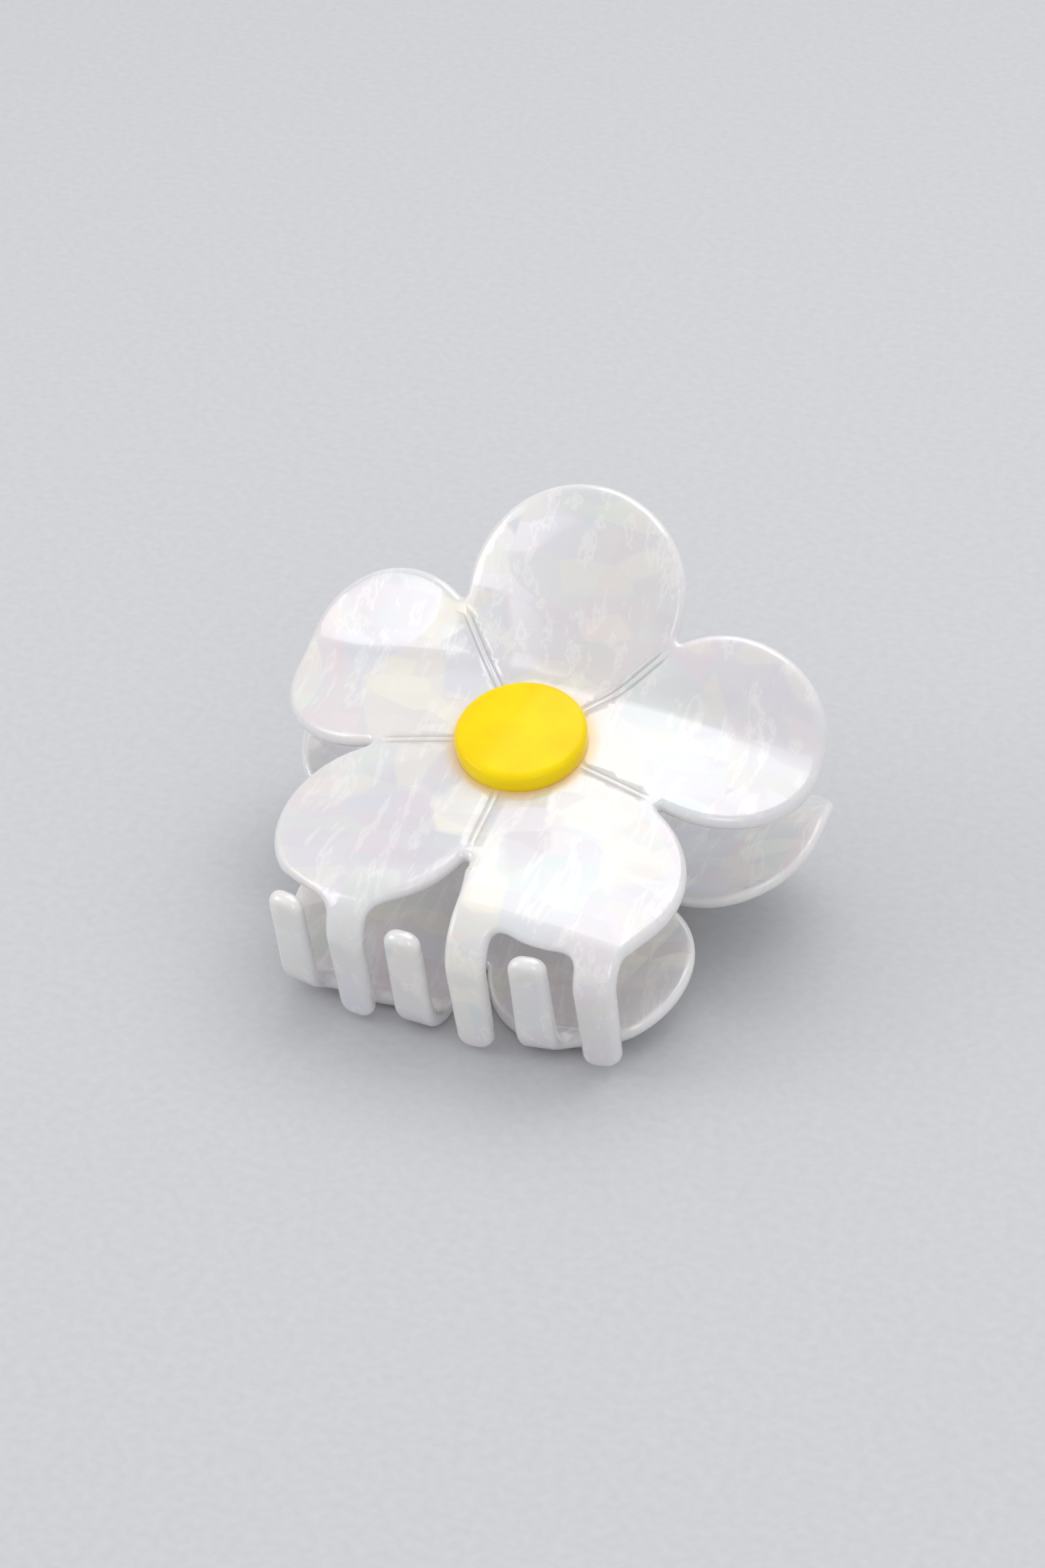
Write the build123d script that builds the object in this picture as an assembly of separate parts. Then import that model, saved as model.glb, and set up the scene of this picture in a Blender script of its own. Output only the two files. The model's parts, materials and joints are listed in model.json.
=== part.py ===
from build123d import *
import os
from math import atan2, acos, cos, degrees, hypot, pi, radians, sin, sqrt

# Flower hair clip: two identical five-petal jaws of bowed acetate sheet, mirrored about the hinge
# line, joined inside by a riveted steel spring hinge.  Millimetres.
#
# The clip is worked out in its own frame first: the hinge pin is the X axis, Z is square to the
# plane midway between the jaws, the handle petals point to +Y and the toothed petals to -Y.  It is
# then laid on the ground as it rests, on the lower handle tip and the upper jaw's tooth tips.
#
# Distances along the sheet, square to the bends, are called "along" and run from the disc's
# centre: positive towards the handle, negative towards the teeth.

os.makedirs("parts", exist_ok=True)

# ---- acetate sheet ----
SHEET = 2.2                 # thickness
SHEET_HEIGHT = 10.0         # middle of the sheet above the hinge axis, under the disc
DOME_RADIUS = 115.0         # bow of the sheet across its width
HANDLE_MARGIN = 0.5         # flat stretch between the disc's edge and the handle bend
HANDLE_BEND_RADIUS = 6.0
HANDLE_ANGLE = 36.0         # flare of the handle petal
BELLY_RADIUS = 6.0
BELLY_TURN = 90.0           # how far the teeth are bent down

# ---- petals, flat pattern ----
HUB_RADIUS = 17.8           # solid middle that the notches stop at
TOP_DISTANCE = 21.4         # disc's centre to the petal's centre
TOP_RADIUS = 13.8
SIDE_DISTANCE = 23.2
SIDE_ANGLE = 21.8           # above the X axis
SIDE_RADIUS = 12.3
LOW_DISTANCE = 19.9
LOW_ANGLE = 50.4            # below the X axis
LOW_RADIUS = 12.6
LOW_LIP = 3.73              # how far a toothed petal's round end runs into the bend

# ---- teeth ----
TOOTH_PITCH = 7.7
TOOTH_WIDTH = 5.2           # at the root
TOOTH_TAPER = 0.7           # how much narrower the tip is
TOOTH_TIP_FILLET = 1.8
TOOTH_END = 46.4            # along, from the centre to the tips
TOOTH_ROOT = 21.0           # along, where the teeth start inside the petals
TOOTH_STEPS = (-1.5, 0.5, 2.5)      # in pitches; the other jaw's teeth fall between them

# ---- centre disc ----
DISC_RADIUS = 8.0
DISC_HEIGHT = 2.4
DISC_FILLET = 1.0

# ---- spring hinge ----
PIN_RADIUS = 1.0
PIN_CLEARANCE = 0.05        # radial, pin to ear
PIN_HEAD_RADIUS = 1.7
PIN_HEAD_LENGTH = 0.8
LEAF_STEEL = 0.8
LEAF_HALF_WIDTH = 7.0       # outer leaf, over its ears
LEAF_FRONT = 5.5            # towards the teeth
LEAF_BACK = 7.0             # towards the handle
EAR_GAP = 0.12              # between the outer and the inner ears
EAR_BASE = 4.0              # half length of an ear where it leaves the leaf
EAR_END_RADIUS = 2.6
WIRE_RADIUS = 0.5
COIL_RADIUS = 2.6           # middle of the wire
COIL_TURNS = 5
COIL_STEP = 0.95            # turn to turn
LEG_INSET = 0.06            # how far a leg runs inside the coil's middle line
LEG_REACH = 6.0             # where a leg bears on its leaf
LEG_CLEARANCE = 0.1

# ---- rivets ----
RIVET_RADIUS = 1.0
RIVET_CLEARANCE = 0.05
RIVET_HEAD_RADIUS = 1.8
RIVET_HEAD = 0.7
RIVET_MARGIN = 0.28         # rivet head to the inner leaf's ears
RIVET_SINK = 0.15           # head's top below the sheet's outer face

# ---- sizes that follow ----
handle_flat = DISC_RADIUS + HANDLE_MARGIN
handle_straight = handle_flat + HANDLE_BEND_RADIUS * radians(HANDLE_ANGLE)
handle_end = TOP_DISTANCE + TOP_RADIUS
face_in = SHEET_HEIGHT - SHEET / 2
face_out = SHEET_HEIGHT + SHEET / 2
side_x = SIDE_DISTANCE * cos(radians(SIDE_ANGLE))
side_along = SIDE_DISTANCE * sin(radians(SIDE_ANGLE))
low_x = LOW_DISTANCE * cos(radians(LOW_ANGLE))
low_along = -LOW_DISTANCE * sin(radians(LOW_ANGLE))
belly_flat = LOW_RADIUS - low_along - LOW_LIP       # from the centre to the bend above the teeth
belly_turn = radians(BELLY_TURN)
teeth_straight = belly_flat + BELLY_RADIUS * belly_turn
blank_width = 2 * (side_x + SIDE_RADIUS) + SHEET
belly_width = 2 * (low_x + LOW_RADIUS) + SHEET / 2
inner_half = LEAF_HALF_WIDTH - LEAF_STEEL - EAR_GAP
rivet_reach = inner_half - LEAF_STEEL - RIVET_HEAD_RADIUS - RIVET_MARGIN
deep = 3 * SHEET_HEIGHT             # reaches right through the jaw
ON_BASE = (Align.CENTER, Align.CENTER, Align.MIN)


def sheet_point(along):
    """Y and Z of the middle of the sheet on the centre line, and its slope in radians."""
    if along >= handle_flat:
        bent = min(along, handle_straight) - handle_flat
        slope = bent / HANDLE_BEND_RADIUS
        straight = max(0.0, along - handle_straight)
        y = handle_flat + HANDLE_BEND_RADIUS * sin(slope) + straight * cos(slope)
        z = SHEET_HEIGHT + HANDLE_BEND_RADIUS * (1 - cos(slope)) + straight * sin(slope)
        return y, z, slope
    if along >= -belly_flat:
        return along, SHEET_HEIGHT, 0.0
    slope = min(-along - belly_flat, teeth_straight - belly_flat) / BELLY_RADIUS
    straight = max(0.0, -along - teeth_straight)
    y = -belly_flat - BELLY_RADIUS * sin(slope) - straight * cos(slope)
    z = SHEET_HEIGHT - BELLY_RADIUS * (1 - cos(slope)) - straight * sin(slope)
    return y, z, slope


def x_axis(y, z):
    return Axis((0, y, z), (1, 0, 0))


def bowed_band(thickness, outer_face, width):
    """Slice across a bowed plate whose crown is at outer_face, in the XZ plane."""
    outer_radius = DOME_RADIUS + outer_face - SHEET_HEIGHT
    centre = Pos(0, outer_face - outer_radius)
    ring = centre * Circle(outer_radius) - centre * Circle(outer_radius - thickness)
    band = ring & Pos(0, outer_face) * Rectangle(width, 2 * SHEET_HEIGHT)
    return Plane.XZ * band


def bowed_plate(thickness, outer_face, width, front, back):
    """Bowed plate between y = -front and y = back."""
    return extrude(Pos(0, back, 0) * bowed_band(thickness, outer_face, width), front + back)


def bent_blank():
    """The whole sheet, bowed and bent, before its outline is cut."""
    slice_ = bowed_band(SHEET, face_out, blank_width)
    flat = extrude(Pos(0, handle_flat, 0) * slice_, handle_flat + belly_flat)
    belly_axis = x_axis(-belly_flat, SHEET_HEIGHT - BELLY_RADIUS)
    belly_slice = Pos(0, -belly_flat, 0) * bowed_band(SHEET, face_out, belly_width)
    belly = revolve(belly_slice, belly_axis, BELLY_TURN)
    teeth = extrude(
        belly_slice.rotate(belly_axis, BELLY_TURN),
        TOOTH_END - teeth_straight + SHEET,
        dir=(0, -cos(belly_turn), -sin(belly_turn)),
    )
    handle_axis = x_axis(handle_flat, SHEET_HEIGHT + HANDLE_BEND_RADIUS)
    handle_slice = Pos(0, handle_flat, 0) * slice_
    bend = revolve(handle_slice, handle_axis, HANDLE_ANGLE)
    flare = radians(HANDLE_ANGLE)
    handle = extrude(
        handle_slice.rotate(handle_axis, HANDLE_ANGLE),
        handle_end - handle_straight + SHEET,
        dir=(0, cos(flare), sin(flare)),
    )
    return flat + belly + teeth + bend + handle


def plan_y(along, x):
    """Y of the middle of the sheet away from the centre line, where the bow has dropped it."""
    y, _, slope = sheet_point(along)
    return y + x ** 2 / (2 * DOME_RADIUS) * sin(slope)


def plan_petal(x, along, radius):
    """A round petal seen from above: where the sheet bends away it looks shorter."""
    near = plan_y(along - radius, x)
    far = plan_y(along + radius, x)
    return Pos(x, (near + far) / 2) * Ellipse(radius, (far - near) / 2)


def petal_prism():
    """Hub, side petals and toothed petals, cut straight down but clear of the teeth's front wall."""
    sides = Sketch()
    front = Circle(HUB_RADIUS)
    for side in (-1, 1):
        sides += plan_petal(side * side_x, side_along, SIDE_RADIUS)
        front += plan_petal(side * low_x, low_along, LOW_RADIUS)
    wall_top = SHEET_HEIGHT - BELLY_RADIUS
    return extrude(sides, deep, both=True) + extrude(Pos(0, 0, wall_top) * front, deep)


def handle_prism():
    """The handle petal, cut square to its own flared face."""
    y, z, slope = sheet_point(handle_straight)
    face = Plane(origin=(0, y, z), x_dir=(1, 0, 0), z_dir=(0, -sin(slope), cos(slope)))
    outline = Pos(0, TOP_DISTANCE - handle_straight) * Circle(TOP_RADIUS)
    return extrude(face * outline, 3 * SHEET, both=True)


def tooth_prism(x):
    """One tapered tooth with a rounded tip, cut from the front."""
    tip = sheet_point(-TOOTH_END)[1]
    wide = TOOTH_WIDTH / 2
    narrow = wide - TOOTH_TAPER / 2
    outline = Polygon((x - narrow, tip), (x + narrow, tip), (x + wide, SHEET_HEIGHT),
                      (x - wide, SHEET_HEIGHT), align=None)
    outline = fillet(outline.vertices().sort_by(Axis.Y)[:2], TOOTH_TIP_FILLET)
    outline += Pos(x, SHEET_HEIGHT) * Rectangle(TOOTH_WIDTH, 2 * SHEET)
    return extrude(Pos(0, -TOOTH_ROOT, 0) * (Plane.XZ * outline), deep)


def rivet_places():
    return [-rivet_reach, rivet_reach]


def upper_jaw():
    cutter = petal_prism() + handle_prism()
    for step in TOOTH_STEPS:
        cutter += tooth_prism(step * TOOTH_PITCH)
    jaw = bent_blank() & cutter
    head_seat = face_out - RIVET_SINK - RIVET_HEAD
    for x in rivet_places():
        bore = Cylinder(RIVET_RADIUS + RIVET_CLEARANCE, deep)
        recess = Cylinder(RIVET_HEAD_RADIUS + RIVET_CLEARANCE, SHEET, align=ON_BASE)
        jaw -= Pos(x, 0, SHEET_HEIGHT) * bore
        jaw -= Pos(x, 0, head_seat) * recess
    return jaw


def upper_disc():
    """Flat-topped disc whose underside follows the bow of the sheet."""
    start = face_out - SHEET / 2
    top = face_out + DISC_HEIGHT
    disc = Pos(0, 0, (start + top) / 2) * Cylinder(DISC_RADIUS, top - start)
    disc -= bowed_plate(SHEET, face_out, blank_width, LEAF_BACK * 2, LEAF_BACK * 2)
    rim = disc.edges().group_by(Axis.Z)[-1]
    return fillet(rim, DISC_FILLET)


def leaf(half_width):
    """Stamped leaf: a bowed plate with an ear at each side that reaches round the pin."""
    plate = bowed_plate(LEAF_STEEL, face_in, 2 * half_width, LEAF_FRONT, LEAF_BACK)
    top = face_in - LEAF_STEEL
    tangent = acos(EAR_END_RADIUS / hypot(EAR_BASE, top)) + atan2(top, EAR_BASE)
    touch_y = EAR_END_RADIUS * cos(tangent)
    touch_z = EAR_END_RADIUS * sin(tangent)
    blade = Polygon((-EAR_BASE, top), (touch_y, touch_z), (-touch_y, touch_z), (EAR_BASE, top),
                    align=None)
    ear = blade + Circle(EAR_END_RADIUS) - Circle(PIN_RADIUS + PIN_CLEARANCE)
    for side in (-1, 1):
        start = half_width - LEAF_STEEL if side > 0 else -half_width
        plate += Pos(start, 0, 0) * extrude(Plane.YZ * ear, LEAF_STEEL)
    for x in rivet_places():
        plate -= Pos(x, 0, SHEET_HEIGHT) * Cylinder(RIVET_RADIUS + RIVET_CLEARANCE, SHEET * 3)
    return plate


def upper_rivet(x):
    """Rivet: flat head sunk in the sheet, shank, and a domed head under the bowed leaf."""
    under = face_in - LEAF_STEEL - (abs(x) + RIVET_HEAD_RADIUS) ** 2 / (2 * DOME_RADIUS)
    seat = face_out - RIVET_SINK - RIVET_HEAD
    rivet = Pos(x, 0, seat) * Cylinder(RIVET_HEAD_RADIUS, RIVET_HEAD, align=ON_BASE)
    shank = Cylinder(RIVET_RADIUS, seat - under + RIVET_HEAD / 2, align=ON_BASE)
    rivet += Pos(x, 0, under - RIVET_HEAD / 2) * shank
    snap = Pos(x, 0, under - RIVET_HEAD) * Cylinder(RIVET_HEAD_RADIUS, RIVET_HEAD, align=ON_BASE)
    snap = fillet(snap.edges().group_by(Axis.Z)[0], RIVET_HEAD * 0.8)
    return rivet + snap


def hinge_pin():
    pin = Rot(0, 90, 0) * Cylinder(PIN_RADIUS, 2 * (LEAF_HALF_WIDTH + EAR_GAP) + PIN_HEAD_LENGTH)
    for side in (-1, 1):
        head = Rot(0, 90 * side, 0) * Cylinder(PIN_HEAD_RADIUS, PIN_HEAD_LENGTH)
        head = Pos(side * (LEAF_HALF_WIDTH + EAR_GAP + PIN_HEAD_LENGTH / 2), 0, 0) * head
        rim = head.edges().sort_by(Axis.X)[-1 if side > 0 else 0]
        pin += fillet(rim, PIN_HEAD_LENGTH * 0.6)
    return pin


def torsion_spring():
    """Close-wound coil round the pin, with a straight leg up to each leaf."""
    last = (COIL_TURNS - 1) / 2 * COIL_STEP
    ring = Rot(0, 90, 0) * Torus(COIL_RADIUS, WIRE_RADIUS)
    spring = Pos(-last, 0, 0) * ring
    for turn in range(1, COIL_TURNS):
        spring += Pos(turn * COIL_STEP - last, 0, 0) * ring
    wound = COIL_RADIUS - LEG_INSET
    rise = face_in - LEAF_STEEL - WIRE_RADIUS - LEG_CLEARANCE
    away = hypot(LEG_REACH, rise)
    tangent = atan2(rise, LEG_REACH) + acos(wound / away)
    length = sqrt(away ** 2 - wound ** 2)
    for side in (-1, 1):
        start = Vector(side * last, wound * cos(tangent), side * wound * sin(tangent))
        end = Vector(side * last, LEG_REACH, side * rise)
        path = Plane(origin=start, z_dir=end - start)
        spring += extrude(path * Circle(WIRE_RADIUS), length)
    return spring


def resting_tilt():
    """Turn about the pin that lays the clip on its lower handle tip and the upper jaw's teeth."""
    y, z, slope = sheet_point(handle_end)
    heel_y = y - SHEET / 2 * sin(slope)
    heel_z = -z - SHEET / 2 * cos(slope)
    toe_y, toe_z, slope = sheet_point(-TOOTH_END)
    return degrees(atan2(toe_z - heel_z, heel_y - toe_y + SHEET / 2))


# ---- the pieces, in the clip's own frame ----
upper = {
    "upper_jaw": upper_jaw(),
    "upper_disc": upper_disc(),
    "upper_hinge_leaf": leaf(LEAF_HALF_WIDTH),
}
lower = {
    "lower_jaw": upper["upper_jaw"].rotate(Axis.Y, 180),
    "lower_disc": upper["upper_disc"].rotate(Axis.Y, 180),
    "lower_hinge_leaf": leaf(inner_half).rotate(Axis.Y, 180),
}
for name, x in zip(("left", "right"), rivet_places()):
    upper["upper_rivet_" + name] = upper_rivet(x)
    lower["lower_rivet_" + name] = upper_rivet(-x).rotate(Axis.Y, 180)
pieces = {**lower, **upper, "hinge_pin": hinge_pin(), "torsion_spring": torsion_spring()}

# ---- laid on the ground, centred over the origin ----
tilt = Rot(resting_tilt(), 0, 0)
box = Compound(children=[tilt * piece for piece in pieces.values()]).bounding_box()
shift = Vector(0, -(box.min.Y + box.max.Y) / 2, -box.min.Z)
for name, piece in pieces.items():
    laid = Pos(shift.X, shift.Y, shift.Z) * tilt * piece
    export_step(laid, "parts/" + name + ".step")

print("tilt", resting_tilt())
print("hinge axis at y, z", shift.Y, shift.Z)
print("box", box.size)
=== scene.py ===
import json
from math import acos, atan2, ceil, cos, hypot, pi, radians, sin

import bpy
import numpy as np
from mathutils import Matrix, Vector
from mathutils.geometry import delaunay_2d_cdt


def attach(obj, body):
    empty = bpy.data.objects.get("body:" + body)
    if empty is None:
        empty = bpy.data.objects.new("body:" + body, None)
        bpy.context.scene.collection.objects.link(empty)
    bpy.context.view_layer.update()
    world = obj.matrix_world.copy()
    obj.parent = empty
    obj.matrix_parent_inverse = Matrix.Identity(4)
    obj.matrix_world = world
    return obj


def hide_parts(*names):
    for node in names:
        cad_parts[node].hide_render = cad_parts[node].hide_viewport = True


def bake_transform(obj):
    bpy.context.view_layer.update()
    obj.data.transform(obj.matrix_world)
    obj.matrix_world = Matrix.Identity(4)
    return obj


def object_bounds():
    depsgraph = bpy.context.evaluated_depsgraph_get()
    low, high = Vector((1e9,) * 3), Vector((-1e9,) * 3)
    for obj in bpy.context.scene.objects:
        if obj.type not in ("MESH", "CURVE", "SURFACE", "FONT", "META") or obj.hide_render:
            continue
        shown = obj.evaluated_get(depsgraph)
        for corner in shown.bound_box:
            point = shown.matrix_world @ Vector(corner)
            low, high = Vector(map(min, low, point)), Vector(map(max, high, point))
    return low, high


# Flower hair clip: the looks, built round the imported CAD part.  Sizes are in millimetres until a
# point is laid on the ground in metres.
#
# A jaw is described on its developed sheet: "across" runs along the hinge pin, and "along" runs
# square to it from the disc's centre, positive towards the handle petal.

MM = 0.001
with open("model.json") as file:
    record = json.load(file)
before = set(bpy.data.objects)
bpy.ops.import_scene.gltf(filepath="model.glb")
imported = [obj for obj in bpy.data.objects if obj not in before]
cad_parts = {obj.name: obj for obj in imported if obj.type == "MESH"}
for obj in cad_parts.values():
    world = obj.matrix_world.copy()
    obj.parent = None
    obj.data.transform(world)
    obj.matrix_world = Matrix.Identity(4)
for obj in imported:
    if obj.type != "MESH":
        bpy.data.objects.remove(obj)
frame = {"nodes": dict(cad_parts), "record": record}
cad_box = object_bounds()

# ---- sheet, as in the CAD part ----
SHEET = 2.2
SHEET_HEIGHT = 10.0         # middle of the sheet above the pin
DOME_RADIUS = 115.0
HANDLE_FLAT = 8.5
HANDLE_BEND_RADIUS = 6.0
HANDLE_ANGLE = radians(36)
BELLY_FLAT = 24.2
BELLY_RADIUS = 6.0
BELLY_TURN = radians(90)

# ---- petals: distance and angle of the centre, radius ----
HUB_RADIUS = 17.8
BOX_CLEAR = 0.01            # the side petals set the width, and this keeps them in the CAD box
TOP_PETAL = (21.4, 90.0, 13.8)
SIDE_PETAL = (23.2, 21.8, 12.3 - BOX_CLEAR)
LOW_PETAL = (19.9, -50.4, 12.6)
NOTCH_BLEND = 1.3           # softness of the corners between petals

# ---- teeth ----
TOOTH_PITCH = 7.7
TOOTH_STEPS = (-1.5, 0.5, 2.5)
TOOTH_HALF = 2.6
TOOTH_TIP_HALF = 2.25
TOOTH_TIP_ROUND = 1.8
TOOTH_START = -21.0
TOOTH_END = -46.4
TOOTH_BLEND = 2.6           # softness where a tooth leaves its petal
SHEET_ACROSS = 36           # the sheet lies inside these two distances
SHEET_ALONG = 37

# ---- edges and scribed lines ----
EDGE_DEPTH = 0.95           # how far the rounded edge reaches into the face
EDGE_STEPS = 10
GRID = 0.8                  # point spacing on the faces
EDGE_SPACING = 0.42
WALK_CELL = 0.35            # cell of the grid on which the outline is walked
WALK_MARGIN = 1
PULLS = 4                   # times each walked point is pulled onto the outline
SLOPE_STEP = 0.02
JOIN_TOLERANCE = 1e-6       # closer points are joined by the triangulation
LINE_ANGLES = (52.4, 127.6, -11.1, 191.1, -90.0)
LINE_ENDS = (21.6, 21.6, 17.6, 17.6, 17.6)
LINE_START = 7.6
LINE_GAP = 0.42             # each scribed line from the middle of its pair
LINE_HALF = 0.18
LINE_DEPTH = 0.20
LINE_FADE = 1.5             # length over which a line runs out at its ends

# ---- disc and spring ----
DISC_RADIUS = 8.0
DISC_HEIGHT = 2.4
DISC_ROUND = 1.0
DISC_CROWN = 0.12           # rise of its top in the middle
DISC_SINK = 0.35            # how far its foot is sunk into the sheet
DISC_BEVEL = 0.3
DISC_STEPS = 8              # rings on its rounded edge, and on its top
DISC_SEGMENTS = 128
LIGHT_BLEED_REACH = 1.8            # how far the painted yellow light from the disc reaches into the sheet round it
COIL_RADIUS = 2.6
COIL_HALF_LENGTH = 1.9
COIL_TURNS = 4              # less what the two legs take off it, which leaves about 3.3
STEPS_PER_TURN = 28
WIRE_RADIUS = 0.5
WIRE_SIDES = 14
WIRE_DOME = (10, 35, 60)    # degrees of the rings that round each end of the wire
LEG_REACH = 6.0
LEG_RISE = 7.5              # height of a leg's end from the pin

hinge = Vector(frame["record"]["behaviour"]["joints"][0]["pos_m"])
face_axis = Vector(frame["record"]["mounts"][0]["axis"])
tilt = atan2(-face_axis.y, face_axis.z)
LAY = Matrix.Translation(hinge) @ Matrix.Rotation(tilt, 4, "X") @ Matrix.Scale(MM, 4)
TURN_OVER = Matrix.Rotation(pi, 4, "Y")         # the lower half is the upper one turned over


# ---------------------------------------------------------------- the developed sheet
def circle_edge(u, v, petal, side=1):
    """Signed distance to a round petal, negative inside."""
    distance, angle, radius = petal
    x = side * distance * cos(radians(angle))
    y = distance * sin(radians(angle))
    return np.hypot(u - x, v - y) - radius


def tooth_edge(u, v, middle):
    """Signed distance to a tapered tooth with a rounded tip."""
    share = np.clip((-BELLY_FLAT - v) / (-BELLY_FLAT - TOOTH_END), 0, 1)
    half = TOOTH_HALF + (TOOTH_TIP_HALF - TOOTH_HALF) * share
    out_u = np.abs(u - middle) - half + TOOTH_TIP_ROUND
    out_v = TOOTH_END - v + TOOTH_TIP_ROUND
    beyond = np.hypot(np.maximum(out_u, 0), np.maximum(out_v, 0))
    tooth = beyond + np.minimum(np.maximum(out_u, out_v), 0) - TOOTH_TIP_ROUND
    return np.maximum(tooth, v - TOOTH_START)


def soft_union(a, b, softness):
    """Union of two signed distances whose inside corner is rounded."""
    near = np.maximum(softness - np.abs(a - b), 0) / softness
    return np.minimum(a, b) - near * near * softness / 4


def sheet_edge(u, v):
    """Signed distance to the outline of the whole jaw."""
    edge = np.hypot(u, v) - HUB_RADIUS
    edge = soft_union(edge, circle_edge(u, v, TOP_PETAL), NOTCH_BLEND)
    for side in (-1, 1):
        edge = soft_union(edge, circle_edge(u, v, SIDE_PETAL, side), NOTCH_BLEND)
        edge = soft_union(edge, circle_edge(u, v, LOW_PETAL, side), NOTCH_BLEND)
    for step in TOOTH_STEPS:
        edge = soft_union(edge, tooth_edge(u, v, step * TOOTH_PITCH), TOOTH_BLEND)
    return edge


def edge_normal(points):
    """Outward direction of the outline at each point."""
    u, v = points.T
    slope_u = sheet_edge(u + SLOPE_STEP, v) - sheet_edge(u - SLOPE_STEP, v)
    slope_v = sheet_edge(u, v + SLOPE_STEP) - sheet_edge(u, v - SLOPE_STEP)
    normal = np.stack([slope_u, slope_v], 1)
    return normal / np.linalg.norm(normal, axis=1, keepdims=True)


def trace_outline():
    """The outline as evenly spaced points, anticlockwise, found by walking the zero line."""
    reach = SHEET_ACROSS + WALK_MARGIN
    us = np.arange(-reach, reach, WALK_CELL)
    vs = np.arange(TOOTH_END - 2 * WALK_MARGIN, SHEET_ALONG + WALK_MARGIN, WALK_CELL)
    edge = sheet_edge(us[:, None], vs[None, :])
    inside = edge < 0
    count = inside[:-1, :-1].astype(int) + inside[1:, :-1] + inside[1:, 1:] + inside[:-1, 1:]
    links = {}
    for i, j in zip(*np.nonzero((count > 0) & (count < 4))):
        corners = [(i, j), (i + 1, j), (i + 1, j + 1), (i, j + 1)]
        crossed = []
        for a, b in zip(corners, corners[1:] + corners[:1]):
            if inside[a] != inside[b]:
                crossed.append((min(a, b), max(a, b)))
        for a, b in zip(crossed[::2], crossed[1::2]):
            links.setdefault(a, []).append(b)
            links.setdefault(b, []).append(a)
    first = next(iter(links))
    walk = [first, links[first][0]]
    while True:
        following = [k for k in links[walk[-1]] if k != walk[-2]]
        if not following or following[0] == first:
            break
        walk.append(following[0])
    points = []
    for a, b in walk:
        share = edge[a] / (edge[a] - edge[b])
        u = us[a[0]] + share * (us[b[0]] - us[a[0]])
        v = vs[a[1]] + share * (vs[b[1]] - vs[a[1]])
        points.append((u, v))
    points = np.array(points)
    u, v = points.T
    area = np.sum(u * np.roll(v, -1) - np.roll(u, -1) * v)
    if area < 0:
        points = points[::-1]
    closed = np.vstack([points, points[:1]])
    lengths = np.linalg.norm(np.diff(closed, axis=0), axis=1)
    travelled = np.concatenate([[0], np.cumsum(lengths)])
    places = np.linspace(0, travelled[-1], ceil(travelled[-1] / EDGE_SPACING) + 1)[:-1]
    even = np.stack([np.interp(places, travelled, closed[:, k]) for k in (0, 1)], 1)
    for _ in range(PULLS):
        even = even - edge_normal(even) * sheet_edge(even[:, 0], even[:, 1])[:, None]
    return even


def line_frames():
    """Start, direction and length of each pair of scribed lines."""
    for angle, end in zip(LINE_ANGLES, LINE_ENDS):
        ray = np.array([cos(radians(angle)), sin(radians(angle))])
        yield ray * LINE_START, ray, end - LINE_START


def well_inside(points, outline):
    """The points that are inside the outline and clear of its rounded edge."""
    points = points[sheet_edge(points[:, 0], points[:, 1]) < 0]
    nearest = np.min(np.linalg.norm(points[:, None] - outline[None], axis=2), axis=1)
    return points[nearest > EDGE_DEPTH + GRID / 2]


def face_points(outline):
    """Points inside the outline: an even grid, with close rows along the scribed lines."""
    columns = np.arange(-SHEET_ACROSS, SHEET_ACROSS, GRID)
    grid_u, grid_v = np.meshgrid(columns, np.arange(TOOTH_END, SHEET_ALONG, GRID))
    points = np.stack([grid_u.ravel(), grid_v.ravel()], 1)
    kept = well_inside(points, outline)
    rows = []
    for start, ray, length in line_frames():
        side = np.array([-ray[1], ray[0]])
        offset = kept - start
        forward = offset @ ray
        away = np.abs(offset @ side)
        near = (forward > -GRID / 2) & (forward < length + GRID / 2)
        near &= away < LINE_GAP + LINE_HALF + GRID / 3
        kept = kept[~near]
        for middle in (-LINE_GAP, LINE_GAP):
            for across in (-LINE_HALF, -LINE_HALF / 2, 0, LINE_HALF / 2, LINE_HALF):
                for forward in np.arange(0, length, GRID / 2):
                    rows.append(start + ray * forward + side * (middle + across))
    return np.vstack([kept, well_inside(np.array(rows), outline)])


def scribed_depth(points):
    """Depth of the scribed lines at each point."""
    depth = np.zeros(len(points))
    for start, ray, length in line_frames():
        offset = points - start
        forward = offset @ ray
        fade = np.clip(np.minimum(forward, length - forward) / LINE_FADE, 0, 1)
        for middle in (-LINE_GAP, LINE_GAP):
            away = np.abs(offset @ np.array([-ray[1], ray[0]]) - middle)
            groove = np.clip(1 - (away / LINE_HALF) ** 2, 0, 1)
            depth = np.maximum(depth, LINE_DEPTH * fade * groove)
    return depth


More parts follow.
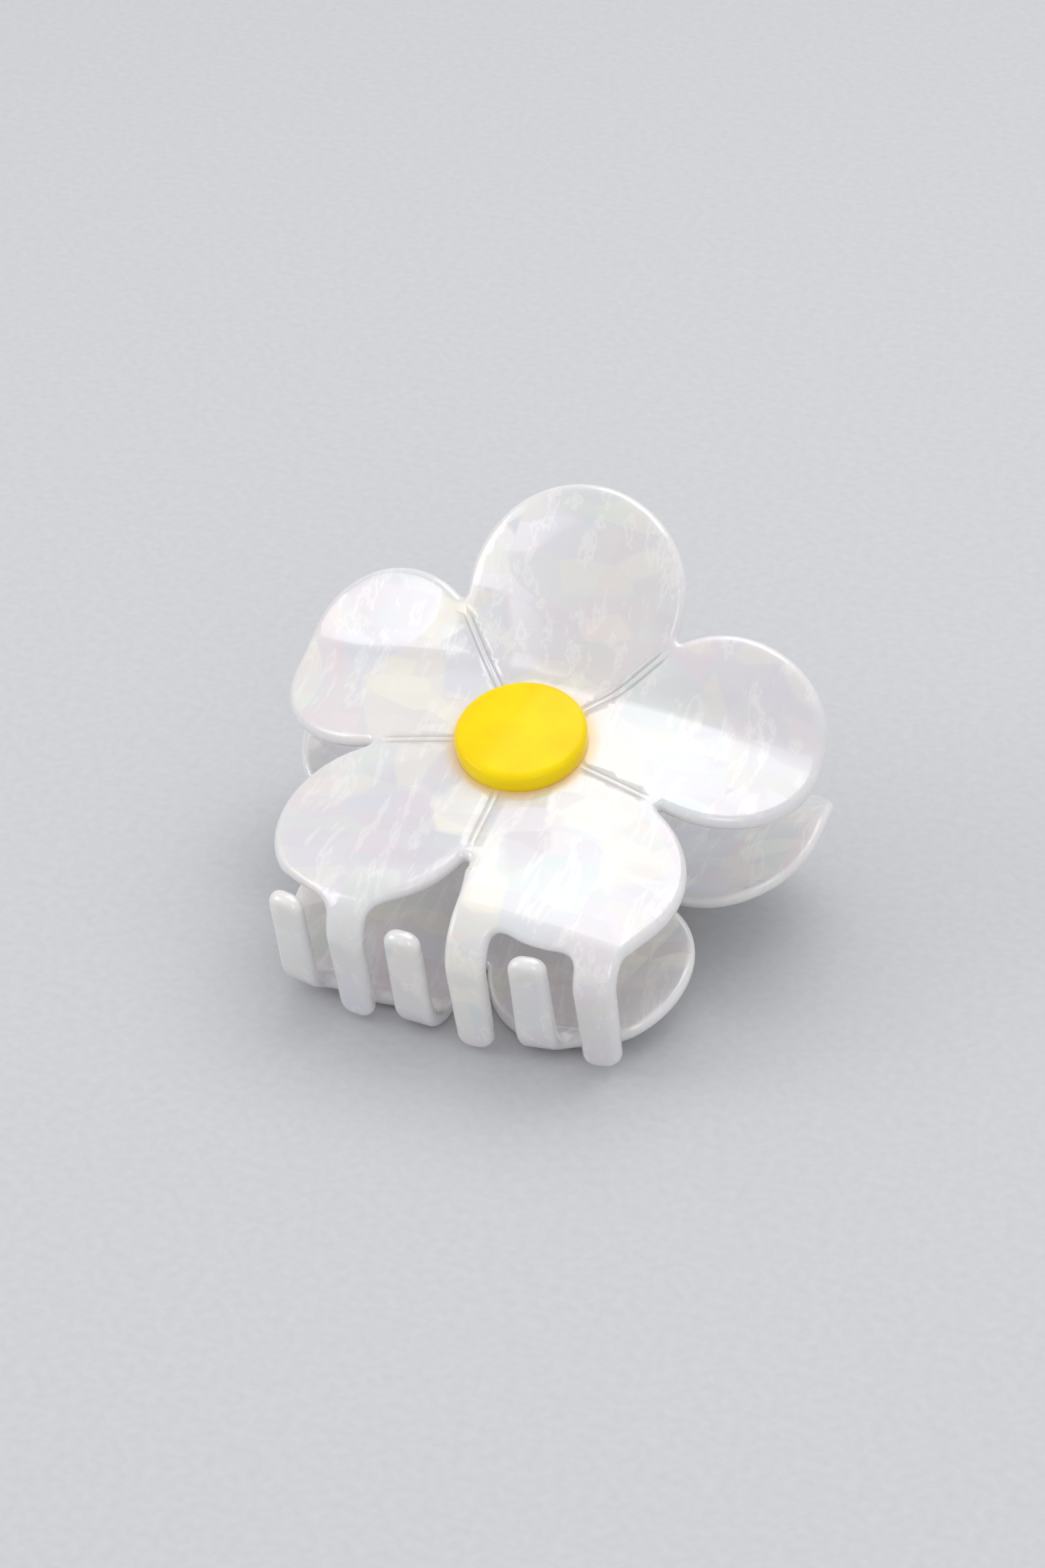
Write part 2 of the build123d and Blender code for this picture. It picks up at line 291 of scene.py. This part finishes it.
def bend_sheet(points, height):
    """Sheet points lifted by height from the middle face, bent and bowed, in the clip's frame."""
    across, along = points.T
    belly = np.clip(-along - BELLY_FLAT, 0, BELLY_RADIUS * BELLY_TURN) / BELLY_RADIUS
    wall = np.maximum(-along - BELLY_FLAT - BELLY_RADIUS * BELLY_TURN, 0)
    handle = np.clip(along - HANDLE_FLAT, 0, HANDLE_BEND_RADIUS * HANDLE_ANGLE) / HANDLE_BEND_RADIUS
    flare = np.maximum(along - HANDLE_FLAT - HANDLE_BEND_RADIUS * HANDLE_ANGLE, 0)
    y = np.clip(along, -BELLY_FLAT, HANDLE_FLAT)
    y = y - BELLY_RADIUS * np.sin(belly) - wall * np.cos(belly)
    y = y + HANDLE_BEND_RADIUS * np.sin(handle) + flare * np.cos(handle)
    z = SHEET_HEIGHT - BELLY_RADIUS * (1 - np.cos(belly)) - wall * np.sin(belly)
    z = z + HANDLE_BEND_RADIUS * (1 - np.cos(handle)) + flare * np.sin(handle)
    slope = belly + handle
    lift = np.sqrt((DOME_RADIUS + height) ** 2 - across ** 2) - DOME_RADIUS
    return np.stack([across, y - lift * np.sin(slope), z + lift * np.cos(slope)], 1)


def mesh_object(name, points, faces, turn_over=False):
    """A new object whose points, in the clip's frame, are laid on the ground."""
    lay = LAY @ TURN_OVER if turn_over else LAY
    mesh = bpy.data.meshes.new(name)
    mesh.from_pydata([lay @ Vector(p) for p in points], [], faces)
    mesh.update()
    mesh.shade_smooth()
    piece = bpy.data.objects.new(name, mesh)
    bpy.context.collection.objects.link(piece)
    return piece


def jaw_shape():
    """Points and faces of one jaw: two faces of the sheet joined by a rounded edge.
    The marks say where its lines are scribed and how far round the edge each point is."""
    outline = trace_outline()
    normal = edge_normal(outline)
    count = len(outline)
    rim = outline - normal * EDGE_DEPTH
    inner = face_points(outline)
    flat = np.vstack([rim, inner])
    ring = list(range(count))
    made = delaunay_2d_cdt([Vector(p) for p in flat], [], [ring], 1, JOIN_TOLERANCE, True)
    corner = [ids[0] for ids in made[3]]
    triangles = []
    for face, within in zip(made[2], made[5]):
        if within:
            triangles.append(tuple(corner[k] for k in face))
    depth = scribed_depth(flat)
    top_height = SHEET / 2 - depth
    scribed = [depth / LINE_DEPTH, np.zeros(len(flat))]
    rounding = [np.zeros(2 * len(flat))]
    points = [bend_sheet(flat, top_height), bend_sheet(flat, np.full(len(flat), -SHEET / 2))]
    faces = list(triangles)
    faces += [tuple(len(flat) + k for k in face[::-1]) for face in triangles]
    rings = [np.arange(count)]
    start = 2 * len(flat)
    for step in range(1, EDGE_STEPS):
        turn = pi * step / EDGE_STEPS
        place = outline - normal * EDGE_DEPTH * (1 - sin(turn))
        points.append(bend_sheet(place, np.full(count, SHEET / 2 * cos(turn))))
        rings.append(start + np.arange(count))
        scribed.append(np.zeros(count))
        rounding.append(np.full(count, sin(turn)))
        start += count
    rings.append(len(flat) + np.arange(count))
    for above, below in zip(rings, rings[1:]):
        for k in range(count):
            after = (k + 1) % count
            faces.append((above[k], below[k], below[after], above[after]))
    faces = [tuple(int(k) for k in face) for face in faces]
    marks = {"scribed": np.concatenate(scribed), "rim": np.concatenate(rounding)}
    return np.vstack(points), faces, marks


def lathe(profile, segments):
    """Points and faces of a solid of revolution about Z; the profile runs from axis to axis."""
    points = [(0, 0, profile[0][1])]
    faces = []
    for radius, height in profile[1:-1]:
        for k in range(segments):
            turn = 2 * pi * k / segments
            points.append((radius * cos(turn), radius * sin(turn), height))
    points.append((0, 0, profile[-1][1]))
    rings = len(profile) - 2
    for k in range(segments):
        after = (k + 1) % segments
        faces.append((0, 1 + after, 1 + k))
        for ring in range(rings - 1):
            low, high = 1 + ring * segments, 1 + (ring + 1) * segments
            faces.append((low + k, low + after, high + after, high + k))
        last = 1 + (rings - 1) * segments
        faces.append((last + k, last + after, len(points) - 1))
    return points, faces


def disc_shape():
    """Centre disc: slightly crowned top, rounded edge, and a foot sunk a little into the sheet."""
    face = SHEET_HEIGHT + SHEET / 2
    top = face + DISC_HEIGHT
    foot = face - DISC_SINK
    profile = [(0, foot), (DISC_RADIUS - DISC_BEVEL, foot), (DISC_RADIUS, foot + DISC_BEVEL)]
    shoulder = top - DISC_CROWN - DISC_ROUND
    profile += [(DISC_RADIUS, foot + (shoulder - foot) * k / 4) for k in range(2, 4)]
    for k in range(DISC_STEPS + 1):
        turn = pi / 2 * k / DISC_STEPS
        reach = DISC_RADIUS - DISC_ROUND * (1 - cos(turn))
        profile.append((reach, shoulder + DISC_ROUND * sin(turn)))
    flat = DISC_RADIUS - DISC_ROUND
    for k in range(1, DISC_STEPS):
        share = 1 - k / DISC_STEPS
        profile.append((flat * share, top - DISC_CROWN * share ** 2))
    profile.append((0, top))
    return lathe(profile, DISC_SEGMENTS)


def spring_path():
    """Middle line of the wire: lower leg, coil, upper leg."""
    away = hypot(LEG_REACH, LEG_RISE)
    touch = atan2(LEG_RISE, LEG_REACH) + acos(COIL_RADIUS / away)
    path = [(-COIL_HALF_LENGTH, LEG_REACH, -LEG_RISE)]
    steps = COIL_TURNS * STEPS_PER_TURN
    for k in range(steps + 1):
        share = k / steps
        turn = -touch - share * (2 * pi * COIL_TURNS - 2 * touch)
        x = -COIL_HALF_LENGTH + 2 * COIL_HALF_LENGTH * share
        path.append((x, COIL_RADIUS * cos(turn), COIL_RADIUS * sin(turn)))
    path.append((COIL_HALF_LENGTH, LEG_REACH, LEG_RISE))
    return [Vector(p) for p in path]


def wire_shape(path):
    """Tube along a path, with domed ends."""
    points = []
    faces = []
    pin_way = Vector((1, 0, 0))
    rings = []
    for k, place in enumerate(path):
        ahead = (path[min(k + 1, len(path) - 1)] - path[max(k - 1, 0)]).normalized()
        out = (pin_way - ahead * pin_way.dot(ahead)).normalized()
        side = ahead.cross(out)
        slices = [(0.0, 1.0)]
        if k == 0:
            slices = [(-cos(radians(a)), sin(radians(a))) for a in WIRE_DOME] + slices
        if k == len(path) - 1:
            slices += [(cos(radians(a)), sin(radians(a))) for a in reversed(WIRE_DOME)]
        for shift, width in slices:
            rings.append(len(points))
            for n in range(WIRE_SIDES):
                turn = 2 * pi * n / WIRE_SIDES
                spoke = out * cos(turn) + side * sin(turn)
                points.append(place + ahead * shift * WIRE_RADIUS + spoke * WIRE_RADIUS * width)
    for low, high in zip(rings, rings[1:]):
        for n in range(WIRE_SIDES):
            after = (n + 1) % WIRE_SIDES
            faces.append((low + n, low + after, high + after, high + n))
    faces.append(tuple(rings[0] + n for n in reversed(range(WIRE_SIDES))))
    faces.append(tuple(rings[-1] + n for n in range(WIRE_SIDES)))
    return points, faces


# ---------------------------------------------------------------- materials
BLACK = (0, 0, 0)
WHITE = (1, 1, 1)
PEARL = (0.79, 0.775, 0.77)
ROSE_PEARL = (0.84, 0.74, 0.76)
LILAC_PEARL = (0.77, 0.745, 0.785)
BLUE_PEARL = (0.73, 0.77, 0.83)
GREEN_PEARL = (0.73, 0.81, 0.77)
CREAM_PEARL = (0.87, 0.84, 0.76)
# painted highlight along the folds of the film
FOLD_HIGHLIGHT_WHITE = (0.96, 0.94, 0.90)
MILK = (0.93, 0.93, 0.95)
# painted highlight along the middle of the rounded edge
RIM_HIGHLIGHT_WHITE = (0.87, 0.86, 0.86)
LINE_SHADE = (0.52, 0.50, 0.53)
# painted yellow light that the disc bleeds into the sheet round its foot
DISC_LIGHT_BLEED = (0.95, 0.60, 0.14)
DEEP_YELLOW = (1.0, 0.68, 0.0)
CLEAR_YELLOW = (1.0, 0.76, 0.0)
SPECK_YELLOW = (1.0, 0.8, 0.1)
PAPER_DARK = (0.58, 0.59, 0.61)
PAPER_LIGHT = (0.62, 0.63, 0.65)
RIM_HIGHLIGHT_SHARE = 0.55            # how strongly the painted highlight on the rim, the painted shade in the scribed lines and the painted yellow light from the disc tint the pearl
SHADE_SHARE = 0.40
LIGHT_BLEED_SHARE = 0.55
SMALL_SHARE = 0.45          # how much of the tint comes from the small scraps of film
FLAKE_LEAN = 0.20           # slant of the large and the small scraps
SHARD_LEAN = 0.11
STEEL_WEAR = 0.12           # extra roughness, and darkening, in the drawing marks of the steel
STEEL_DARKENING = 0.78


def grey(value):
    """A colour with three equal parts."""
    return (value,) * 3


class Surface:
    """A node material with short ways to add and join nodes."""

    def __init__(self, name):
        self.material = bpy.data.materials.new(name)
        self.material.use_nodes = True
        self.tree = self.material.node_tree
        self.shader = self.tree.nodes["Principled BSDF"]

    def node(self, kind, links=(), **values):
        """Adds a node; links maps an input to another node's output, values sets its properties."""
        made = self.tree.nodes.new("ShaderNode" + kind)
        for key, value in values.items():
            setattr(made, key, value)
        for socket, source in dict(links).items():
            if isinstance(source, bpy.types.NodeSocket):
                self.tree.links.new(source, made.inputs[socket])
            else:
                made.inputs[socket].default_value = source
        return made

    def set(self, **values):
        for key, value in values.items():
            self.shader.inputs[key.replace("_", " ")].default_value = value

    def join(self, source, socket):
        self.tree.links.new(source, self.shader.inputs[socket])

    def place(self, scale):
        """Object coordinates scaled so that one unit is 1 / scale millimetres."""
        coordinates = self.node("TexCoord")
        mapping = self.node("Mapping", {"Vector": coordinates.outputs["Object"]})
        stretch = scale if isinstance(scale, tuple) else grey(scale)
        mapping.inputs["Scale"].default_value = [s / MM for s in stretch]
        return mapping.outputs["Vector"]

    def ramp(self, source, stops):
        ramp = self.node("ValToRGB", {"Fac": source})
        elements = ramp.color_ramp.elements
        while len(elements) < len(stops):
            elements.new(1.0)
        for element, (place, colour) in zip(elements, stops):
            element.position = place
            element.color = (*colour, 1)
        return ramp.outputs["Color"]

    def mix(self, share, a, b, blend="MIX"):
        mix = self.node("Mix", data_type="RGBA", blend_type=blend)
        for socket, source in ((0, share), (6, a), (7, b)):
            if isinstance(source, bpy.types.NodeSocket):
                self.tree.links.new(source, mix.inputs[socket])
            else:
                mix.inputs[socket].default_value = (*source, 1) if isinstance(source, tuple) else source
        return mix.outputs[2]


def pearl_acetate():
    """Milky acetate with layers of crumpled pearl film under a polished face."""
    s = Surface("pearl_acetate")
    place = s.place(1.0)
    bend = s.node("TexNoise", {"Vector": place, "Scale": 0.07, "Detail": 0.0})
    bent = s.node("VectorMath", {0: bend.outputs["Color"], 1: (5.0, 5.0, 5.0)}, operation="MULTIPLY")
    warped = s.node("VectorMath", {0: place, 1: bent.outputs[0]}).outputs[0]

    sheared = s.node("Mapping", {"Vector": warped, "Scale": (1.0, 0.55, 0.8), "Rotation": (0.2, 0.4, 0.6)})
    slivers = s.node("Mapping", {"Vector": warped, "Scale": (0.5, 1.3, 0.9), "Rotation": (0.5, 0.1, 1.3)})
    flakes = s.node("TexVoronoi", {"Vector": sheared.outputs[0], "Scale": 0.13, "Smoothness": 0.12},
                    feature="SMOOTH_F1")
    shards = s.node("TexVoronoi", {"Vector": slivers.outputs[0], "Scale": 0.30, "Smoothness": 0.25},
                    feature="SMOOTH_F1")
    pick = s.node("SeparateColor", {0: flakes.outputs["Color"]})
    pick_small = s.node("SeparateColor", {0: shards.outputs["Color"]})

    # which way a scrap of film leans decides its tint
    tints = [(0.15, LILAC_PEARL), (0.27, PEARL), (0.38, ROSE_PEARL), (0.47, PEARL),
             (0.55, BLUE_PEARL), (0.64, PEARL), (0.74, GREEN_PEARL), (0.86, CREAM_PEARL)]
    large = s.ramp(pick.outputs[0], tints)
    small = s.ramp(pick_small.outputs[1], tints)
    colour = s.mix(SMALL_SHARE, large, small)

    # folds in the film, fine and slanting: the bump gives their shape, and the thin bright lines along them
    # are a painted highlight for their glint
    drawn = s.node("Mapping", {"Vector": warped, "Scale": (0.9, 0.16, 0.5), "Rotation": (0.3, 0.2, 0.7)})
    folds = s.node("TexNoise", {"Vector": drawn.outputs[0], "Scale": 0.55, "Detail": 4.0, "Roughness": 0.62})
    fold_highlight = s.ramp(folds.outputs[0], [(0.54, BLACK), (0.60, WHITE), (0.66, BLACK)])
    fold_highlight = s.mix(1.0, fold_highlight, grey(0.5), "MULTIPLY")
    colour = s.mix(fold_highlight, colour, FOLD_HIGHLIGHT_WHITE)
    cloud = s.node("TexNoise", {"Vector": place, "Scale": 0.045, "Detail": 2.0})
    milk = s.ramp(cloud.outputs[0], [(0.35, MILK), (0.65, WHITE)])
    colour = s.mix(1.0, colour, milk, "MULTIPLY")

    # the rounded edge is painted whiter towards its middle, a painted highlight for the bright line along
    # the polished edge, and the scribed lines are painted darker, a painted shade in their hollows
    rim = s.node("Attribute", attribute_name="rim").outputs["Fac"]
    rim_highlight = s.node("Math", {0: rim, 1: RIM_HIGHLIGHT_SHARE}, operation="MULTIPLY").outputs[0]
    colour = s.mix(rim_highlight, colour, RIM_HIGHLIGHT_WHITE)
    shade = s.node("Attribute", attribute_name="scribed").outputs["Fac"]
    shade = s.node("Math", {0: shade, 1: SHADE_SHARE}, operation="MULTIPLY").outputs[0]
    colour = s.mix(shade, colour, LINE_SHADE)

    # painted light: yellow light that the disc bleeds into the milky sheet round its foot, painted into the
    # sheet's colour
    from_pin = s.node("VectorMath", {0: place, 1: hinge / MM}, operation="SUBTRACT").outputs[0]
    aside = s.node("VectorMath", {0: from_pin, 1: face_axis}, operation="CROSS_PRODUCT").outputs[0]
    reach = s.node("VectorMath", {0: aside}, operation="LENGTH").outputs["Value"]
    fading = {"Value": reach, "From Min": DISC_RADIUS, "From Max": DISC_RADIUS + LIGHT_BLEED_REACH,
              "To Min": LIGHT_BLEED_SHARE, "To Max": 0.0}
    light_bleed = s.node("MapRange", fading, interpolation_type="SMOOTHSTEP")
    colour = s.mix(light_bleed.outputs[0], colour, DISC_LIGHT_BLEED)
    s.join(colour, "Base Color")

    # every scrap lies at its own slant under the clear face, and none of it shows on the rim
    slant = s.node("NewGeometry").outputs["Normal"]
    off_rim = s.node("Math", {0: 1.0, 1: rim}, operation="SUBTRACT").outputs[0]
    for cells, lean in ((flakes, FLAKE_LEAN), (shards, SHARD_LEAN)):
        own = s.node("VectorMath", {0: cells.outputs["Color"], 1: grey(0.5)}, operation="SUBTRACT")
        amount = s.node("Math", {0: off_rim, 1: lean}, operation="MULTIPLY").outputs[0]
        scaled = s.node("VectorMath", {0: own.outputs[0], "Scale": amount}, operation="SCALE")
        slant = s.node("VectorMath", {0: slant, 1: scaled.outputs[0]}, operation="ADD").outputs[0]
    slant = s.node("VectorMath", {0: slant}, operation="NORMALIZE").outputs[0]
    bump = s.node("Bump", {"Height": folds.outputs[0], "Strength": 0.12, "Distance": 0.12 * MM,
                           "Normal": slant})
    s.join(bump.outputs[0], "Normal")
    gloss = s.ramp(pick_small.outputs[0], [(0.2, grey(0.24)), (0.8, grey(0.42))])
    s.join(gloss, "Roughness")
    s.set(Metallic=0.14, Specular_IOR_Level=0.6, Coat_Weight=1.0, Coat_Roughness=0.035, Coat_IOR=1.49,
          Subsurface_Weight=0.22, Subsurface_Scale=0.004, Subsurface_Radius=(1.0, 0.85, 0.75))
    return s.material


def yellow_acetate():
    """Opaque yellow acetate, a touch warmer in drifts through it."""
    s = Surface("yellow_acetate")
    drift = s.node("TexNoise", {"Vector": s.place(1.0), "Scale": 0.16, "Detail": 3.0})
    body = s.ramp(drift.outputs[0], [(0.35, DEEP_YELLOW), (0.65, CLEAR_YELLOW)])
    specks = s.node("TexVoronoi", {"Vector": s.place(1.0), "Scale": 1.1})
    speck = s.ramp(specks.outputs["Distance"], [(0.03, WHITE), (0.09, BLACK)])
    speck = s.mix(1.0, speck, grey(0.25), "MULTIPLY")
    s.join(s.mix(speck, body, SPECK_YELLOW), "Base Color")
    ripple = s.node("TexNoise", {"Vector": s.place(1.0), "Scale": 0.35, "Detail": 1.0})
    bump = s.node("Bump", {"Height": ripple.outputs[0], "Strength": 0.25, "Distance": 0.12 * MM})
    s.join(bump.outputs[0], "Normal")
    wear = s.ramp(drift.outputs[0], [(0.3, grey(0.10)), (0.7, grey(0.17))])
    s.join(wear, "Roughness")
    s.set(Specular_IOR_Level=0.12, Coat_Weight=0.18, Coat_Roughness=0.05, Subsurface_Weight=0.12,
          Subsurface_Scale=0.002, Subsurface_Radius=(1.0, 0.5, 0.1))
    return s.material


def plated_steel(name, colour, grain, roughness):
    """Nickel-plated steel whose drawing marks run along one axis."""
    s = Surface(name)
    marks = s.node("TexNoise", {"Vector": s.place(grain), "Scale": 1.0, "Detail": 5.0, "Roughness": 0.7})
    dark = tuple(c * STEEL_DARKENING for c in colour)
    s.join(s.ramp(marks.outputs[0], [(0.3, dark), (0.7, colour)]), "Base Color")
    worn = s.ramp(marks.outputs[0], [(0.3, grey(roughness + STEEL_WEAR)), (0.7, grey(roughness))])
    s.join(worn, "Roughness")
    bump = s.node("Bump", {"Height": marks.outputs[0], "Strength": 0.3, "Distance": 0.03 * MM})
    s.join(bump.outputs[0], "Normal")
    s.set(Metallic=1.0)
    return s.material


def floor_surface():
    """Matte pale paper."""
    s = Surface("floor_paper")
    fibre = s.node("TexNoise", {"Vector": s.place(1.0), "Scale": 0.8, "Detail": 6.0})
    s.join(s.ramp(fibre.outputs[0], [(0.3, PAPER_DARK), (0.7, PAPER_LIGHT)]), "Base Color")
    s.set(Roughness=0.55, Specular_IOR_Level=0.3)
    return s.material


# ---------------------------------------------------------------- pieces
materials = {
    "pearl_acetate": pearl_acetate(),
    "yellow_acetate": yellow_acetate(),
    "hinge_steel": plated_steel("hinge_steel", (0.72, 0.72, 0.73), (2.5, 0.12, 2.5), 0.26),
    "pin_steel": plated_steel("pin_steel", (0.74, 0.74, 0.75), (0.12, 3.0, 3.0), 0.2),
    "spring_steel": plated_steel("spring_steel", (0.60, 0.60, 0.62), (3.0, 0.3, 0.3), 0.24),
    "rivet_steel": plated_steel("rivet_steel", (0.76, 0.76, 0.77), (1.5, 1.5, 1.5), 0.22),
}


def finish_piece(piece, slot):
    """Gives a new piece its one material and that material's slot."""
    piece.data.materials.append(materials[slot])


jaw_points, jaw_faces, jaw_marks = jaw_shape()
disc_points, disc_faces = disc_shape()
for half, over in (("upper", False), ("lower", True)):
    jaw = mesh_object(half + "_petals", jaw_points, jaw_faces, over)
    for mark, values in jaw_marks.items():
        attribute = jaw.data.attributes.new(mark, "FLOAT", "POINT")
        attribute.data.foreach_set("value", values.astype(np.float32))
    finish_piece(jaw, "pearl_acetate")
    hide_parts(half + "_jaw")
    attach(jaw, half + "_half")
    disc = mesh_object(half + "_centre", disc_points, disc_faces, over)
    finish_piece(disc, "yellow_acetate")
    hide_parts(half + "_disc")
    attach(disc, half + "_half")

wire_points, wire_faces = wire_shape(spring_path())
spring = mesh_object("spring_wire", wire_points, wire_faces)
finish_piece(spring, "spring_steel")
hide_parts("torsion_spring")
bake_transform(spring)

steel_nodes = {"hinge_pin": "pin_steel"}
for half in ("upper", "lower"):
    steel_nodes[half + "_hinge_leaf"] = "hinge_steel"
    for side in ("left", "right"):
        steel_nodes[half + "_rivet_" + side] = "rivet_steel"
for name, slot in steel_nodes.items():
    node = frame["nodes"][name]
    for material_slot in node.material_slots:
        material_slot.material = materials[slot]

# ---------------------------------------------------------------- floor, light and camera
low, high = cad_box
middle = (low + high) / 2
FLOOR_HALF = 8.0                    # metres
bpy.ops.mesh.primitive_plane_add(size=2 * FLOOR_HALF, location=(middle.x, middle.y, low.z))
floor = bpy.context.object
floor.name = "floor"
floor.data.materials.append(floor_surface())


def soft_light(name, direction, distance, size, power, colour=(1, 1, 1)):
    """A rectangular soft box that faces the middle of the clip."""
    light = bpy.data.lights.new(name, "AREA")
    light.shape = "RECTANGLE"
    light.size, light.size_y = size
    light.energy = power
    light.color = colour
    lamp = bpy.data.objects.new(name, light)
    bpy.context.collection.objects.link(lamp)
    lamp.location = middle + Vector(direction).normalized() * distance
    lamp.rotation_euler = (middle - lamp.location).to_track_quat("-Z", "Y").to_euler()


soft_light("window", direction=(0.12, 0.42, 0.90), distance=0.55, size=(0.50, 0.46), power=0.95,
           colour=(1.0, 0.985, 0.955))
soft_light("fill", direction=(-0.9, -0.5, 0.6), distance=0.60, size=(0.30, 0.30), power=0.52)
soft_light("front", direction=(0.6, -0.8, 0.5), distance=0.70, size=(0.25, 0.35), power=0.28)

WORLD_COLOUR = (0.98, 0.98, 1.0, 1)
WORLD_STRENGTH = 0.78
world = bpy.data.worlds.new("studio")
world.use_nodes = True
background = world.node_tree.nodes["Background"]
background.inputs["Color"].default_value = WORLD_COLOUR
background.inputs["Strength"].default_value = WORLD_STRENGTH
bpy.context.scene.world = world
bpy.context.scene.view_settings.view_transform = "Standard"

VIEW_AZIMUTH = radians(21.7)        # from the teeth's side towards the right
VIEW_ELEVATION = radians(34.2)
VIEW_DISTANCE = 0.525               # metres
LENS = 99.5                         # millimetres, as a lens is named
CLIP_START = 0.01
AIM = Vector((-1.4, -1.2, 19.2)) * MM
sight = Vector((sin(VIEW_AZIMUTH) * cos(VIEW_ELEVATION), -cos(VIEW_AZIMUTH) * cos(VIEW_ELEVATION),
                sin(VIEW_ELEVATION)))
camera_data = bpy.data.cameras.new("camera")
camera_data.lens = LENS
camera_data.clip_start = CLIP_START
camera = bpy.data.objects.new("camera", camera_data)
bpy.context.collection.objects.link(camera)
camera.location = AIM + sight * VIEW_DISTANCE
camera.rotation_euler = (-sight).to_track_quat("-Z", "Y").to_euler()
bpy.context.scene.camera = camera
